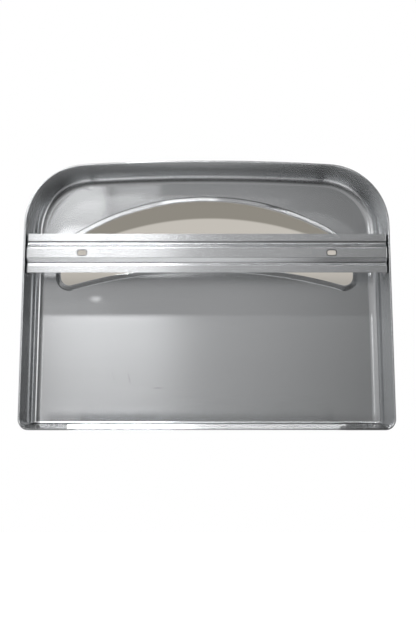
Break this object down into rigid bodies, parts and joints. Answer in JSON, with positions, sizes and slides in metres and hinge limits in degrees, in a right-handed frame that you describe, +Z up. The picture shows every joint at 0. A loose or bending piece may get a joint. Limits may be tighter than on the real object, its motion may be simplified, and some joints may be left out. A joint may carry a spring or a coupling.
{
  "type": "toilet seat cover dispenser",
  "caption": "Surface-mounted steel toilet seat cover dispenser: a drawn housing with a crescent opening, and a slotted mounting bar across its open back.",
  "frame": {"origin": "midway between the two mounting slots, in the plane of the wall", "axes": "+Z up, +Y out of the open back towards the wall, so the front of the housing faces -Y; +X along the mounting bar"},
  "size_m": [0.3998, 0.05, 0.2889],
  "materials": {
    "body_shell": "satin stainless steel, horizontal grain",
    "mounting_bar": "satin stainless steel, grain along the bar"
  },
  "bodies": {
    "root": {"body_shell": "body_shell", "mounting_bar": "mounting_bar"}
  },
  "joints": []
}
